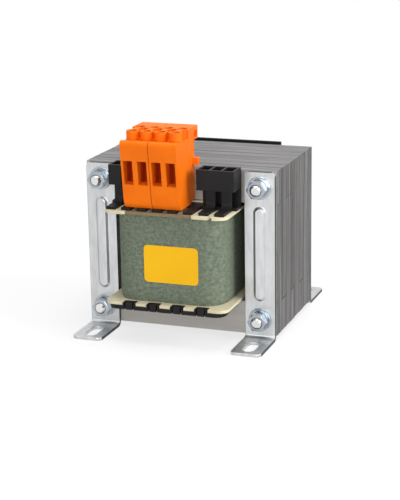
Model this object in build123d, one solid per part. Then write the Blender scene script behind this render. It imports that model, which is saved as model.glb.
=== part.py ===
from build123d import *
import os

# Laminated chassis transformer, millimetres.
# X runs across the front, the front faces -Y, Z is up, and the feet stand on Z = 0.

# Core: E and I laminations, in packets that are turned over one after the other.
# Yokes, outer limbs and windows are one limb width wide, the middle limb is two.
limb_width = 16.0
stack_depth = 60.0
packet_count = 8
packet_gap = 0.1
seam_gap = 0.1
core_lift = 2.5

# Mounting brackets, folded from sheet
sheet = 1.5
bracket_width = 15.0
bracket_drop = 0.5
bracket_corner = 2.0
bend_radius = 1.2
foot_reach = 24.0
foot_corner = 2.5
slot_width = 5.8
slot_length = 13.5
slot_edge = 3.0
bead_width = 6.2
bead_length = 46.0
bead_height = 1.0
bead_slope = 50.0

# Core bolts, nuts and washers
bolt_d = 5.0
bolt_hole_d = 5.5
bolt_end = 1.0
bolt_chamfer = 0.6
head_flats = 8.0
head_height = 3.5
nut_flats = 8.0
nut_height = 4.0
washer_od = 11.0
washer_thick = 1.0
spring_od = 9.0
spring_thick = 1.3
spring_split = 0.8
thread_clearance = 0.1

# Coil former
limb_clearance = 0.3
end_clearance = 0.25
former_wall = 1.4
flange_thick = 1.4
flange_side_gap = 1.4
flange_reach = 23.5
flange_corner = 5.0
upper_collar = 1.75
notch_count = 4
notch_pitch = 12.0
notch_width = 6.8
notch_depth = 4.0
slit_width = 2.0
slit_depth = 4.0

# Lead opening in the upper flange's front edge, closed by a pressboard strip
lead_reach_left = 13.0
lead_reach_right = 19.5
lead_opening_depth = 4.0
lead_opening_round = 1.2
strip_setback = 0.8
strip_clearance = 0.2

# Windings, from the former outwards: in the window, and at the end turns in front
layer_gap = 0.1
primary_build = 4.6
primary_end = 9.1
barrier_thick = 0.8
secondary_build = 2.6
secondary_end = 6.2
wrap_thick = 1.2
winding_corner = 2.0

# Terminal carriers and lower combs, clipped to the former's flanges
carrier_gap = 0.3
carrier_side_gap = 0.8
carrier_wall = 1.0
carrier_back_wall = 1.6
carrier_floor = 1.3
tongue_length = 6.0
finger_count = 8
finger_width = 4.6
finger_tip_gap = 2.0
finger_bend = 3.0
post_thick = 1.6
post_setback = 2.0
rail_depth = 10.5
rail_under = 8.4
rail_height = 9.7
rail_floor = 1.5
pocket_pitch = 5.8
plain_wall_rise = 1.0
comb_thick = 2.0
comb_reach = 0.5
comb_end_gap = 1.5
tooth_clearance = 0.3
tooth_width = 3.6
tooth_split = 0.5
split_depth = 3.0

# Terminal housings, two poles each
housing_count = 2
poles_each = 2
pole_pitch = 7.0
housing_gap = 0.3
left_rail_share = 8 / 31
bay_room = 4.8
block_back_gap = 0.8
housing_height = 31.5
face_foot = 20.8
face_lean = 3.6
foot_slope = 2.0
foot_slope_height = 3.0
lip_depth = 2.6
lip_rise = 0.8
lip_round = 2.0
heel_depth = 5.0
heel_rise = 1.6
collar_d = 6.0
collar_height = 4.4
collar_web = 2.6
well_d = 4.6
front_well = 15.7
rear_well = 6.0
deck_front = 7.8
deck_overhang = 5.0
deck_thick = 6.2
recess_length = 4.2
recess_height = 3.2
recess_depth = 1.2
recess_edge = 1.0
chamber_width = 4.6
chamber_height = 10.6
chamber_floor = 12.3
mouth_drop = 1.4
lug_length = 3.0
lug_depth = 2.8
lug_height = 3.4
lug_rise = 0.2
lug_round = 0.8

# Clamps inside the housings
cage_clearance = 0.05
cage_length = 5.0
cage_wall = 0.5
bar_width = 3.0
bar_thick = 0.8
bar_clearance = 0.1
clamp_screw_d = 2.6
clamp_head_d = 4.2
clamp_head_height = 2.4
clamp_head_rise = 1.6
clamp_screw_reach = 2.0
slot_cut = 0.8
lead_d = 1.2
lead_clearance = 0.3
lead_offset = 1.2

# Tolerance for finding an edge by its place
touch = 0.001

# Places that follow from the sizes above
core_half = 3 * limb_width
core_front = -stack_depth / 2
core_height = 5 * limb_width
core_top = core_lift + core_height
window_bottom = core_lift + limb_width
window_top = core_top - limb_width
window_edge = 2 * limb_width
packet = (stack_depth - packet_gap * (packet_count - 1)) / packet_count
bolt_x = core_half - limb_width / 2
bolt_heights = (core_lift + limb_width / 2, core_top - limb_width / 2)
bracket_edge = bolt_x - bracket_width / 2
opening_half = min(window_edge, bracket_edge)
sheet_face = core_front - sheet
foot_tip = sheet_face - foot_reach
slot_y = foot_tip + slot_edge + slot_length / 2

tube_x = limb_width + limb_clearance
tube_y = stack_depth / 2 + limb_clearance
former_bottom = window_bottom + end_clearance
former_top = window_top - end_clearance
lower_flange_top = former_bottom + flange_thick
upper_flange_top = former_top - upper_collar
upper_flange_bottom = upper_flange_top - flange_thick
flange_half = opening_half - flange_side_gap
flange_front = core_front - flange_reach
notch_xs = [notch_pitch * (i - (notch_count - 1) / 2) for i in range(notch_count)]

carrier_half = opening_half - carrier_side_gap
carrier_back = -(tube_y + former_wall + carrier_gap)
floor_top = upper_flange_top + carrier_floor
rail_bottom = floor_top + rail_under
rail_top = rail_bottom + rail_height
rail_front = carrier_back - rail_depth
finger_pitch = 2 * flange_half / finger_count
finger_xs = [finger_pitch * (i - (finger_count - 1) / 2) for i in range(finger_count)]
finger_tip = flange_front + finger_tip_gap
post_front = rail_front + post_setback
post_back = post_front + post_thick

housing_width = poles_each * pole_pitch - housing_gap
block_half = housing_count * poles_each * pole_pitch / 2
bay_width = 2 * (block_half + bay_room)
bay_left = left_rail_share * (2 * carrier_half - bay_width) - carrier_half
bay_right = bay_left + bay_width
block_centre_x = (bay_left + bay_right) / 2
lead_opening = (block_centre_x - lead_reach_left, block_centre_x + lead_reach_right)
pole_xs = [block_centre_x - block_half + pole_pitch * (i + 0.5) for i in range(housing_count * poles_each)]
block_back = core_front - block_back_gap
block_bottom = floor_top
block_top = block_bottom + housing_height
face_y = block_back - face_foot
ledge_y = face_y - face_lean
front_well_y = block_back - front_well
rear_well_y = block_back - rear_well
deck_y = block_back - deck_front
deck_back = block_back + deck_overhang
deck_top = block_top + collar_height
deck_bottom = deck_top - deck_thick
floor_z = block_bottom + chamber_floor
ceiling_z = floor_z + chamber_height
chamber_end = rear_well_y + cage_length / 2 + cage_clearance
bar_bottom = floor_z - bar_thick
cage_bottom = bar_bottom - cage_wall
cage_top = ceiling_z + cage_wall
cage_half = chamber_width / 2 + cage_wall
bar_span = (front_well_y - cage_length / 2, rear_well_y + cage_length / 2)
lead_y = (front_well_y + rear_well_y) / 2


def slab(x, y, z):
    """Box between two corners, each given as (low, high) along an axis."""
    middle = Pos((x[0] + x[1]) / 2, (y[0] + y[1]) / 2, (z[0] + z[1]) / 2)
    return middle * Box(x[1] - x[0], y[1] - y[0], z[1] - z[0])


def front_plate(points, y_from, thickness):
    """Plate with an outline in X and Z, thickened towards +Y."""
    outline = Polyline(*[(x, y_from, z) for x, z in points], close=True)
    return extrude(make_face(outline), amount=thickness, dir=(0, 1, 0))


def side_profile(points, x_from, x_to):
    """Bar with an outline in Y and Z, running from one X to another."""
    outline = Polyline(*[(x_from, y, z) for y, z in points], close=True)
    return extrude(make_face(outline), amount=x_to - x_from, dir=(1, 0, 0))


def upright(diameter, x, y, z):
    """Vertical round bar between two heights."""
    return Pos(x, y, (z[0] + z[1]) / 2) * Cylinder(diameter / 2, z[1] - z[0])


def across(diameter, x, z, y):
    """Round bar along Y between two depths."""
    return Pos(x, (y[0] + y[1]) / 2, z) * Rot(90, 0, 0) * Cylinder(diameter / 2, y[1] - y[0])


def hexagon(flats, x, z, y):
    """Hexagonal bar along Y between two depths, flats up and down."""
    prism = extrude(RegularPolygon(flats / 2, 6, major_radius=False), amount=y[1] - y[0])
    return Pos(x, y[1], z) * Rot(90, 0, 0) * prism


def rounded_ring(inner, outer, corner, z):
    """Ring around the middle limb; inner and outer are half sizes in X and Y."""
    outside = RectangleRounded(2 * outer[0], 2 * outer[1], corner + outer[0] - inner[0])
    inside = RectangleRounded(2 * inner[0], 2 * inner[1], corner)
    return Pos(0, 0, z[0]) * extrude(outside - inside, amount=z[1] - z[0])


def lines_at(shape, y, z):
    """Edges along X at one depth and height."""
    return [edge for edge in shape.edges().filter_by(Axis.X)
            if abs(edge.center().Y - y) < touch and abs(edge.center().Z - z) < touch]


def turned(shape):
    """The same piece for the opposite face, turned half a turn about Z."""
    return Rot(0, 0, 180) * shape


def save(name, *solids):
    """Write one node; several solids become one group."""
    shape = solids[0] if len(solids) == 1 else Compound(children=list(solids))
    export_step(shape, f"parts/{name}.step")


def bolt_places():
    """X and Z of the four core bolts."""
    return [(x, z) for x in (-bolt_x, bolt_x) for z in bolt_heights]


def lamination_packets():
    """E packets and I packets; every second packet is turned upside down."""
    u = limb_width
    e_outline = [(-3, 0), (3, 0), (3, 4), (2, 4), (2, 1), (1, 1),
                 (1, 4), (-1, 4), (-1, 1), (-2, 1), (-2, 4), (-3, 4)]
    seam = seam_gap / u
    i_outline = [(-3, 4 + seam), (3, 4 + seam), (3, 5), (-3, 5)]
    e_packets, i_packets = [], []
    for index in range(packet_count):
        back = core_front + index * (packet + packet_gap)
        sign, base = (1, core_lift) if index % 2 == 0 else (-1, core_top)
        holes = [across(bolt_hole_d, x, z, (back, back + packet)) for x, z in bolt_places()]
        for outline, packets in ((e_outline, e_packets), (i_outline, i_packets)):
            plate = front_plate([(x * u, base + sign * z * u) for x, z in outline], back, packet)
            packets.append(plate - holes)
    return e_packets, i_packets


def bracket(x_mid):
    """Front bracket: upright strip with a pressed bead, folded out into a slotted foot."""
    top = core_top - bracket_drop
    outline = [(core_front, 0), (core_front, top), (sheet_face, top),
               (sheet_face, sheet), (foot_tip, sheet), (foot_tip, 0)]
    strip = side_profile(outline, -bracket_width / 2, bracket_width / 2)
    strip = fillet(lines_at(strip, sheet_face, sheet), bend_radius)
    strip = fillet(lines_at(strip, core_front, 0), bend_radius + sheet)
    corners = [e for e in strip.edges().filter_by(Axis.Y) if e.center().Z > core_top / 2]
    strip = fillet(corners, bracket_corner)
    tips = [e for e in strip.edges().filter_by(Axis.Z) if e.center().Y < slot_y]
    strip = fillet(tips, foot_corner)

    bead_z = (core_lift + core_top) / 2
    bead_face = Plane((0, sheet_face, bead_z), x_dir=(0, 0, 1), z_dir=(0, -1, 0))
    back_face = Plane((0, core_front, bead_z), x_dir=(0, 0, 1), z_dir=(0, -1, 0))
    bead = SlotOverall(bead_length, bead_width)
    hollow = SlotOverall(bead_length - 2 * bead_height, bead_width - 2 * bead_height)
    strip += extrude(bead_face * bead, amount=bead_height, taper=bead_slope)
    strip -= extrude(back_face * hollow, amount=bead_height)
    for z in bolt_heights:
        strip -= across(bolt_hole_d, 0, z, (sheet_face, core_front))
    strip -= Pos(0, slot_y, 0) * extrude(Rot(0, 0, 90) * SlotOverall(slot_length, slot_width), amount=sheet)
    return Pos(x_mid, 0, 0) * strip


def fastener_stack(x, z):
    """Bolt, washers, spring washer and nut of one hole; the head is at the back."""
    rear_face = -sheet_face
    flat_front = (sheet_face - washer_thick, sheet_face)
    spring = (flat_front[0] - spring_thick, flat_front[0])
    nut = (spring[0] - nut_height, spring[0])
    head = (rear_face + washer_thick, rear_face + washer_thick + head_height)
    tip = nut[0] - bolt_end
    bolt = across(bolt_d, x, z, (tip, head[0]))
    bolt = chamfer(bolt.edges().sort_by(Axis.Y)[0], bolt_chamfer)
    bolt += hexagon(head_flats, x, z, head)
    bore = bolt_d + 2 * thread_clearance
    flat = across(washer_od, x, z, flat_front) - across(bore, x, z, flat_front)
    rear = Pos(0, rear_face + washer_thick - flat_front[1], 0) * flat
    coil = across(spring_od, x, z, spring) - across(bore, x, z, spring)
    coil -= slab((x - spring_split / 2, x + spring_split / 2), spring, (z, z + spring_od))
    hexes = hexagon(nut_flats, x, z, nut) - across(bore, x, z, nut)
    return bolt, flat, rear, coil, hexes


def coil_former():
    """Moulded former: a tube round the middle limb with a slotted flange at each end."""
    wall = (tube_x + former_wall, tube_y + former_wall)
    outside = RectangleRounded(2 * wall[0], 2 * wall[1], winding_corner - layer_gap)
    bore = Rectangle(2 * tube_x, 2 * tube_y)
    flange = RectangleRounded(2 * flange_half, -2 * flange_front, flange_corner)
    former = Pos(0, 0, former_bottom) * extrude(outside, amount=former_top - former_bottom)
    for z in (former_bottom, upper_flange_bottom):
        former += Pos(0, 0, z) * extrude(flange, amount=flange_thick)
    former -= Pos(0, 0, former_bottom) * extrude(bore, amount=former_top - former_bottom)
    lower, upper = (former_bottom, lower_flange_top), (upper_flange_bottom, upper_flange_top)
    notch = (flange_front, flange_front + notch_depth)
    slit = (flange_front, flange_front + slit_depth)
    slit_xs = [(left + right) / 2 for left, right in zip(finger_xs, finger_xs[1:])]
    notches = [slab((x - notch_width / 2, x + notch_width / 2), notch, lower) for x in notch_xs]
    slits = [slab((x - slit_width / 2, x + slit_width / 2), slit, upper) for x in slit_xs]
    former -= notches + [turned(cut) for cut in notches + slits]
    former -= [cut for cut, x in zip(slits, slit_xs) if clear_of_opening(x)]
    former -= slab(lead_opening, (flange_front, flange_front + lead_opening_depth), upper)
    ends = [edge for edge in former.edges().filter_by(Axis.Z) if abs(edge.center().Y - flange_front) < touch
            and min(abs(edge.center().X - x) for x in lead_opening) < touch]
    former = fillet(ends, lead_opening_round)
    return former - [upright(lead_d + 2 * lead_clearance, x, y, upper) for x, y in lead_places()]


def clear_of_opening(x):
    """Whether a slit leaves a sound tab between itself and the lead opening."""
    return not lead_opening[0] - 2 * slit_width < x < lead_opening[1] + 2 * slit_width


def lead_strip():
    """Pressboard strip that fills the lead opening, a little behind the flange's edge."""
    return slab((lead_opening[0] + strip_clearance, lead_opening[1] - strip_clearance),
                (flange_front + strip_setback, flange_front + lead_opening_depth - strip_clearance),
                (upper_flange_bottom, upper_flange_top))


def lead_places():
    """X and Y of the winding ends: the primary's on the first housing, the secondary's on the other."""
    return [(x, lead_y + (lead_offset if i < poles_each else -lead_offset)) for i, x in enumerate(pole_xs)]


def winding_layers():
    """Primary, barrier, secondary and outer wrap, one round the other between the flanges."""
    layers = (("primary_winding", primary_build, primary_end),
              ("winding_barrier", barrier_thick, barrier_thick),
              ("secondary_winding", secondary_build, secondary_end),
              ("outer_wrap", wrap_thick, wrap_thick))
    x, y = tube_x + former_wall + layer_gap, tube_y + former_wall + layer_gap
    corner = winding_corner
    span = (lower_flange_top + layer_gap, upper_flange_bottom - layer_gap)
    rings = {}
    for name, build, end in layers:
        rings[name] = rounded_ring((x, y), (x + build, y + end), corner, span)
        x, y, corner = x + build + layer_gap, y + end + layer_gap, corner + build + layer_gap
    return rings


def rail_segment(x_from, x_to):
    """Length of rail with open-topped pockets, as many as come nearest to the pocket pitch."""
    rail = slab((x_from, x_to), (rail_front, carrier_back), (rail_bottom, rail_top))
    count = max(1, round((x_to - x_from - carrier_wall) / pocket_pitch))
    pitch = (x_to - x_from - carrier_wall) / count
    for index in range(count):
        left = x_from + carrier_wall + index * pitch
        rail -= slab((left, left + pitch - carrier_wall),
                     (rail_front + carrier_wall, carrier_back - carrier_back_wall),
                     (rail_bottom + rail_floor, rail_top))
    return rail


def finger_plate():
    """Plate on the upper flange: fingers to the flange's edge, two tongues into the core's windows."""
    level = (upper_flange_top, floor_top)
    plate = slab((-carrier_half, carrier_half), (post_back, carrier_back), level)
    tongue_from = tube_x + former_wall + carrier_gap
    for x_from, x_to in ((-flange_half, -tongue_from), (tongue_from, flange_half)):
        plate += slab((x_from, x_to), (carrier_back, carrier_back + tongue_length), level)
    for x in finger_xs:
        plate += slab((x - finger_width / 2, x + finger_width / 2), (finger_tip, post_back), level)
    return plate


def terminal_carrier():
    """Front carrier: the finger plate with a pocket rail on posts, left and right of the housings' bay."""
    back = (carrier_back - carrier_back_wall, carrier_back)
    carrier = finger_plate()
    for x_from, x_to in ((-carrier_half, bay_left), (bay_right, carrier_half)):
        carrier += slab((x_from, x_to), back, (floor_top, rail_bottom))
        carrier += rail_segment(x_from, x_to)
        for x in finger_xs:
            sides = (max(x - finger_width / 2, x_from), min(x + finger_width / 2, x_to))
            if sides[1] - sides[0] > post_thick:
                carrier += slab(sides, (post_front, post_back), (floor_top, rail_bottom))
    carrier = fillet(lines_at(carrier, post_front, floor_top), finger_bend)
    level = (upper_flange_top, floor_top)
    return carrier - [upright(lead_d + 2 * lead_clearance, x, y, level) for x, y in lead_places()]


def plain_carrier():
    """Rear carrier, with no terminals: the finger plate with a plain wall along the core."""
    back = (carrier_back - carrier_back_wall, carrier_back)
    wall = slab((-carrier_half, carrier_half), back, (floor_top, core_top + plain_wall_rise))
    return turned(finger_plate() + wall)


def lower_comb():
    """Comb under the lower flange; split teeth stand up in the flange's notches."""
    under = (former_bottom - comb_thick, former_bottom)
    front = flange_front - comb_reach
    half = flange_half - comb_end_gap
    comb = slab((-half, half), (front, carrier_back), under)
    comb = fillet([e for e in comb.edges().filter_by(Axis.Z) if e.center().Y < flange_front], flange_corner)
    tooth_half = notch_width / 2 - tooth_clearance
    tooth_back = flange_front + notch_depth - tooth_clearance
    for x in notch_xs:
        comb += slab((x - tooth_half, x + tooth_half), (front, tooth_back), (former_bottom, lower_flange_top))
        for middle in (x - (tooth_width + tooth_split) / 2, x + (tooth_width + tooth_split) / 2):
            comb -= slab((middle - tooth_split / 2, middle + tooth_split / 2), (front, front + split_depth),
                         (under[0], lower_flange_top))
    return comb


def housing_body(sides):
    """Side outline of a housing, between two X, with its rounded lip in front."""
    lip_top = block_top + lip_rise
    outline = [(block_back - heel_depth, block_bottom), (face_y + foot_slope, block_bottom),
               (face_y, block_bottom + foot_slope_height), (ledge_y, lip_top), (ledge_y + lip_depth, lip_top),
               (ledge_y + lip_depth, block_top), (deck_y, block_top), (deck_y, deck_top),
               (deck_back, deck_top), (deck_back, deck_bottom), (block_back, deck_bottom),
               (block_back, block_bottom + heel_rise), (block_back - heel_depth, block_bottom + heel_rise)]
    body = side_profile(outline, *sides)
    return fillet(lines_at(body, ledge_y, lip_top), lip_round)


def pole_hollows(pole):
    """Cuts for one pole: wire chamber, clamp pockets, bar groove, screw wells and lead hole."""
    x = pole_xs[pole]
    walls = (x - chamber_width / 2, x + chamber_width / 2)
    mouth = [(ledge_y, floor_z - mouth_drop), (bar_span[0], floor_z), (chamber_end, floor_z),
             (chamber_end, ceiling_z), (ledge_y, ceiling_z)]
    cuts = [side_profile(mouth, *walls)]
    groove = bar_width / 2 + bar_clearance
    cuts.append(slab((x - groove, x + groove), bar_span, (bar_bottom - bar_clearance, floor_z)))
    for y in (front_well_y, rear_well_y):
        half, length = cage_half + cage_clearance, cage_length / 2 + cage_clearance
        cuts.append(slab((x - half, x + half), (y - length, y + length),
                         (cage_bottom - cage_clearance, cage_top + cage_clearance)))
        cuts.append(upright(well_d, x, y, (cage_top, deck_top)))
    cuts.append(upright(lead_d + 2 * lead_clearance, *lead_places()[pole], (block_bottom, bar_bottom)))
    return cuts


def terminal_housing(index):
    """Moulded housing for two poles: wire chambers in front, screw wells above, a lug outside."""
    first = index * poles_each
    middle = block_centre_x - block_half + poles_each * pole_pitch * (index + 0.5)
    sides = (middle - housing_width / 2, middle + housing_width / 2)
    housing = housing_body(sides)
    if index == 0:
        lug_end = sides[0] - lug_length
        lug = (lug_end, sides[0])
        recess = (sides[0], sides[0] + recess_depth)
    else:
        lug_end = sides[1] + lug_length
        lug = (sides[1], lug_end)
        recess = (sides[1] - recess_depth, sides[1])
    lug_bottom = rail_top + lug_rise
    housing += slab(lug, (block_back - lug_depth, block_back), (lug_bottom, lug_bottom + lug_height))
    tips = [edge for edge in housing.edges().filter_by(Axis.Z) if abs(edge.center().X - lug_end) < touch]
    housing = fillet(tips, lug_round)
    recess_back = deck_back - recess_edge
    housing -= slab(recess, (recess_back - recess_length, recess_back),
                    (deck_bottom + recess_edge, deck_bottom + recess_edge + recess_height))
    for pole in range(first, first + poles_each):
        x = pole_xs[pole]
        for y in (front_well_y, rear_well_y):
            housing += upright(collar_d, x, y, (block_top, deck_top))
        web = (x - collar_web / 2, x + collar_web / 2)
        housing += slab(web, (front_well_y, deck_y), (block_top, deck_top))
        housing -= pole_hollows(pole)
    return housing


def clamp_cage(x, y):
    """Box clamp round the wire's way; the screw comes in from the top."""
    length = (y - cage_length / 2, y + cage_length / 2)
    inner = chamber_width / 2
    cage = slab((x - cage_half, x + cage_half), length, (cage_bottom, cage_top))
    cage -= slab((x - inner, x + inner), length, (bar_bottom, ceiling_z))
    return cage - upright(clamp_screw_d + 2 * thread_clearance, x, y, (ceiling_z, cage_top))


def clamp_screw(x, y):
    """Slotted clamp screw, its head down in the well."""
    head_z = cage_top + clamp_head_rise
    screw = upright(clamp_screw_d, x, y, (cage_top - clamp_screw_reach, head_z))
    screw += upright(clamp_head_d, x, y, (head_z, head_z + clamp_head_height))
    half = clamp_head_d / 2
    return screw - slab((x - half, x + half), (y - slot_cut / 2, y + slot_cut / 2),
                        (head_z + clamp_head_height / 2, head_z + clamp_head_height))


os.makedirs("parts", exist_ok=True)
e_packets, i_packets = lamination_packets()
save("e_laminations", *e_packets)
save("i_laminations", *i_packets)
save("coil_former", coil_former())
save("lead_strip", lead_strip())
for name, ring in winding_layers().items():
    save(name, ring)

save("front_left_bracket", bracket(-bolt_x))
save("front_right_bracket", bracket(bolt_x))
save("rear_left_bracket", turned(bracket(bolt_x)))
save("rear_right_bracket", turned(bracket(-bolt_x)))

stacks = [fastener_stack(x, z) for x, z in bolt_places()]
save("core_bolts", *[stack[0] for stack in stacks])
save("flat_washers", *[washer for stack in stacks for washer in stack[1:3]])
save("spring_washers", *[stack[3] for stack in stacks])
save("hex_nuts", *[stack[4] for stack in stacks])

save("front_terminal_carrier", terminal_carrier())
save("rear_terminal_carrier", plain_carrier())
save("front_lower_comb", lower_comb())
save("rear_lower_comb", turned(lower_comb()))

save("terminal_housing_left", terminal_housing(0))
save("terminal_housing_right", terminal_housing(1))
wells = [(x, y) for x in pole_xs for y in (front_well_y, rear_well_y)]
save("clamp_cages", *[clamp_cage(x, y) for x, y in wells])
save("clamp_screws", *[clamp_screw(x, y) for x, y in wells])
save("current_bars", *[slab((x - bar_width / 2, x + bar_width / 2), bar_span, (bar_bottom, floor_z))
                       for x in pole_xs])
save("lead_wires", *[upright(lead_d, x, y, (upper_flange_bottom - layer_gap, bar_bottom))
                     for x, y in lead_places()])
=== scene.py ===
import logging
import math
from contextlib import contextmanager
from dataclasses import dataclass, replace
from enum import Enum
from typing import Any, Iterable, Iterator, Sequence

import bmesh
import bpy
from bpy.types import Material, Mesh, Node, NodeSocket, NodeTree, Object
from mathutils import Matrix, Vector, noise


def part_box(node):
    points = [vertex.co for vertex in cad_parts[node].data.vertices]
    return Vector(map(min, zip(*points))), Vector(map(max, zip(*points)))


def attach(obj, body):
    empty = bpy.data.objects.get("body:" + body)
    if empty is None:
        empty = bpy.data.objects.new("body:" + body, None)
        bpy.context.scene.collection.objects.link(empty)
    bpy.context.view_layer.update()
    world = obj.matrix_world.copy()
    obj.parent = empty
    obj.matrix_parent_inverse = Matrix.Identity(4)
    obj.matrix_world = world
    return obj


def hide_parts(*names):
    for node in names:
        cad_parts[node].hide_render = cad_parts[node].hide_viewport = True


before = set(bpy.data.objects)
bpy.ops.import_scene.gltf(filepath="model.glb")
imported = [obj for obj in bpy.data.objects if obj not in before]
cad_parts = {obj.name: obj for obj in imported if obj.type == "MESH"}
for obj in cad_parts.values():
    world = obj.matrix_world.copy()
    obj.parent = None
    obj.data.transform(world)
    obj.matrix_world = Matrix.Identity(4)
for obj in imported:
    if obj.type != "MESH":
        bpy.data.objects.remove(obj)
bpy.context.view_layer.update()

Pair = tuple[float, float]
Triple = tuple[float, float, float]

ROOT = "root"
MM = 0.001
WHITE = (1.0, 1.0, 1.0, 1.0)
# Vertices of an own mesh, or of a CAD mesh, that are nearer than this in metres are one
MERGE = 1e-7
CAD_MERGE = 2e-6
# CAD edges flatter than the first angle are facets of one face, and edges over the second are rounded
FACET_DEGREES = 0.5
EDGE_DEGREES = 32.0
# Attribute that holds how light a sheet is, from zero to one
TONE = "sheet_tone"
# The lamination in limb widths from the core's middle, in X and Z
HALF_CORE: Pair = (3.0, 2.5)
HALF_WINDOW: Pair = (2.0, 1.5)
HALF_LIMB = 1.0
BOLT: Pair = (2.5, 2.0)

log = logging.getLogger("transformer")


class Effect(Enum):
    """Surface effects that several finishes share, each one shader node group."""

    GRAIN = "moulded_grain"
    STREAK = "drawn_streaks"
    FIBRE = "felted_fibres"


class End(Enum):
    """The two ends of the coil, by the word that their CAD nodes start with."""

    FRONT = "front"
    REAR = "rear"


class Side(Enum):
    """The two sides seen from the terminals, by the word in their CAD nodes."""

    LEFT = "left"
    RIGHT = "right"


class Graph:
    """Small builder around a node tree: adds nodes, sets values and joins sockets."""

    MIX_A, MIX_B, MIX_COLOUR = 6, 7, 2

    def __init__(self, tree: NodeTree) -> None:
        """Keep the tree that the calls work on."""
        self.tree = tree

    def add(self, kind: str, values: dict[Any, Any] | None = None, **settings: Any) -> Node:
        """Add one node.

        Args:
            kind: Blender's node type name.
            values: input values by socket name or number.
            settings: properties of the node itself.

        Returns:
            The new node.
        """
        node = self.tree.nodes.new(kind)
        for key, value in settings.items():
            setattr(node, key, value)
        for key, value in (values or {}).items():
            node.inputs[key].default_value = value
        return node

    def join(self, source: NodeSocket, target: NodeSocket) -> None:
        """Link an output to an input."""
        self.tree.links.new(source, target)

    def math(self, operation: str, first: NodeSocket, second: NodeSocket | float | None = None) -> NodeSocket:
        """Add a Math node.

        Args:
            operation: Blender's name of the operation.
            first: socket of the first operand.
            second: socket or number of the second operand, where it has one.

        Returns:
            The socket with the result.
        """
        node = self.add("ShaderNodeMath", operation=operation)
        self.join(first, node.inputs[0])
        if isinstance(second, NodeSocket):
            self.join(second, node.inputs[1])
        elif second is not None:
            node.inputs[1].default_value = second
        return node.outputs[0]

    def split(self, vector: NodeSocket) -> dict[str, NodeSocket]:
        """Split a vector into its parts.

        Args:
            vector: socket with the vector.

        Returns:
            The sockets of its parts, by axis name.
        """
        node = self.add("ShaderNodeSeparateXYZ")
        self.join(vector, node.inputs["Vector"])
        return {part.name: part for part in node.outputs}

    def combine(self, **parts: NodeSocket) -> NodeSocket:
        """Make a vector.

        Args:
            parts: socket of each part by axis name, with zero for the others.

        Returns:
            The socket with the vector.
        """
        node = self.add("ShaderNodeCombineXYZ")
        for axis, part in parts.items():
            self.join(part, node.inputs[axis])
        return node.outputs["Vector"]

    def blend(self, share: NodeSocket, low: Triple, high: Triple) -> NodeSocket:
        """Blend two fixed colours.

        Args:
            share: socket with zero for the first colour and one for the second.
            low: first colour.
            high: second colour.

        Returns:
            The socket with the blended colour.
        """
        ends = {self.MIX_A: (*low, 1.0), self.MIX_B: (*high, 1.0)}
        node = self.add("ShaderNodeMix", ends, data_type="RGBA")
        self.join(share, node.inputs["Factor"])
        return node.outputs[self.MIX_COLOUR]

    def span(self, value: NodeSocket, before: Pair = (0.0, 1.0), after: Pair = (0.0, 1.0),
             **settings: Any) -> NodeSocket:
        """Map a value from one range to another.

        Args:
            value: socket with the value.
            before: range that comes in.
            after: range that goes out.
            settings: properties of the Map Range node.

        Returns:
            The socket with the result.
        """
        node = self.add("ShaderNodeMapRange", {"From Min": before[0], "From Max": before[1],
                                               "To Min": after[0], "To Max": after[1]}, **settings)
        self.join(value, node.inputs["Value"])
        return node.outputs["Result"]


@dataclass(frozen=True)
class Recipe:
    """Noise values of one effect, for its fine noise and for a broad one at a share of the scale."""

    fine: dict[str, float]
    broad: dict[str, float]
    share: float


class EffectLibrary:
    """Builds each shared shader group once and hands it out."""

    RECIPES = {
        # Fine spark-eroded grain of a mould, with broad cloudiness
        Effect.GRAIN: Recipe({"Detail": 3.0, "Roughness": 0.6}, {"Detail": 2.0}, 0.04),
        # Lines along one axis, fine ones within broad bands
        Effect.STREAK: Recipe({"Detail": 4.0, "Roughness": 0.7}, {"Detail": 2.0, "Roughness": 0.6}, 0.22),
        # Distorted fine noise over soft mottling
        Effect.FIBRE: Recipe({"Detail": 5.0, "Roughness": 0.7, "Distortion": 1.6},
                             {"Detail": 5.0, "Roughness": 0.7, "Distortion": 0.5}, 0.3),
    }

    def __init__(self) -> None:
        """Start with no group made."""
        self.made: dict[Effect, NodeTree] = {}

    def group(self, effect: Effect) -> NodeTree:
        """Give the node group of an effect.

        Args:
            effect: which shared effect.

        Returns:
            The shader node tree, with Vector, Scale and Stretch inputs and Fine and Broad outputs.
        """
        if effect not in self.made:
            tree = bpy.data.node_groups.new(effect.value, "ShaderNodeTree")
            for name, kind in (("Vector", "Vector"), ("Scale", "Float"), ("Stretch", "Vector")):
                tree.interface.new_socket(name, in_out="INPUT", socket_type="NodeSocket" + kind)
            for name in ("Fine", "Broad"):
                tree.interface.new_socket(name, in_out="OUTPUT", socket_type="NodeSocketFloat")
            self._noises(Graph(tree), self.RECIPES[effect])
            self.made[effect] = tree
        return self.made[effect]

    @staticmethod
    def _noises(graph: Graph, recipe: Recipe) -> None:
        """Join a fine and a broad noise to a group's outputs.

        Args:
            graph: the group's graph.
            recipe: values of the two noises.
        """
        enter = graph.add("NodeGroupInput").outputs
        leave = graph.add("NodeGroupOutput").inputs
        place = graph.add("ShaderNodeVectorMath", operation="MULTIPLY")
        graph.join(enter["Vector"], place.inputs[0])
        graph.join(enter["Stretch"], place.inputs[1])
        noises = (("Fine", recipe.fine, enter["Scale"]),
                  ("Broad", recipe.broad, graph.math("MULTIPLY", enter["Scale"], recipe.share)))
        for name, values, scale in noises:
            texture = graph.add("ShaderNodeTexNoise", values)
            graph.join(scale, texture.inputs["Scale"])
            graph.join(place.outputs["Vector"], texture.inputs["Vector"])
            graph.join(texture.outputs["Fac"], leave[name])


EFFECTS = EffectLibrary()
MATERIALS: dict[str, Material] = {}


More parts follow.
